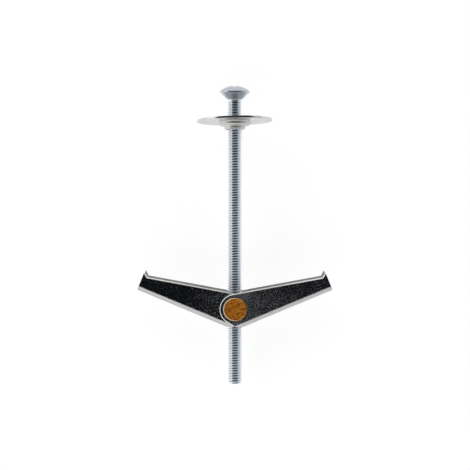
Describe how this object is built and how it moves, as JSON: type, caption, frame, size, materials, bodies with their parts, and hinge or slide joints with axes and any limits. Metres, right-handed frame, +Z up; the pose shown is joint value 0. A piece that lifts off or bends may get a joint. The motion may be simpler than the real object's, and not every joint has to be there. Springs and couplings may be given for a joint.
{
  "type": "spring toggle bolt",
  "caption": "Spring toggle bolt for hollow walls: raised countersunk screw, cupped washer and folding channel wings that a torsion spring opens on a brass cross nut.",
  "frame": {"origin": "middle of the bounding box at table level; the part lies on the washer's rim and the cross nut's end", "axes": "+X along the right-hand wing, +Y along the bolt towards its head, +Z up from the table"},
  "size_m": [0.0534, 0.0815, 0.0206],
  "materials": {
    "bolt_zinc": "bright zinc plating with a slight blue cast",
    "washer_zinc": "bright zinc plating",
    "nut_brass": "sawn brass with brushed lines on its ends",
    "spring_wire": "drawn spring wire",
    "wing_zinc": "mottled zinc plating on folded sheet"
  },
  "bodies": {
    "bolt": {"bolt": "bolt_zinc"},
    "washer": {"washer": "washer_zinc"},
    "toggle_nut": {"cross_nut": "nut_brass", "spring": "spring_wire"},
    "right_wing": {"right_wing": "wing_zinc"},
    "left_wing": {"left_wing": "wing_zinc"}
  },
  "joints": [
    {"name": "washer_travel", "type": "slide", "parent": "bolt", "child": "washer", "axis": [0, 0.9956, 0.0933], "range_m": [-0.01, 0.0068]},
    {"name": "toggle_travel", "type": "slide", "parent": "bolt", "child": "toggle_nut", "axis": [0, 0.9956, 0.0933], "range_m": [-0.017, 0.01]},
    {"name": "right_wing_fold", "type": "hinge", "parent": "toggle_nut", "child": "right_wing", "pos_m": [0, -0.0197, 0.00555], "axis": [0, -0.0933, 0.9956], "range_deg": [0, 71], "stiffness_Nm_per_rad": 0.011, "springref_deg": -28.65, "deforming": ["spring"]},
    {"name": "left_wing_fold", "type": "hinge", "parent": "toggle_nut", "child": "left_wing", "pos_m": [0, -0.0197, 0.00555], "axis": [0, 0.0933, -0.9956], "range_deg": [0, 71], "stiffness_Nm_per_rad": 0.011, "springref_deg": -28.65, "deforming": ["spring"]}
  ]
}
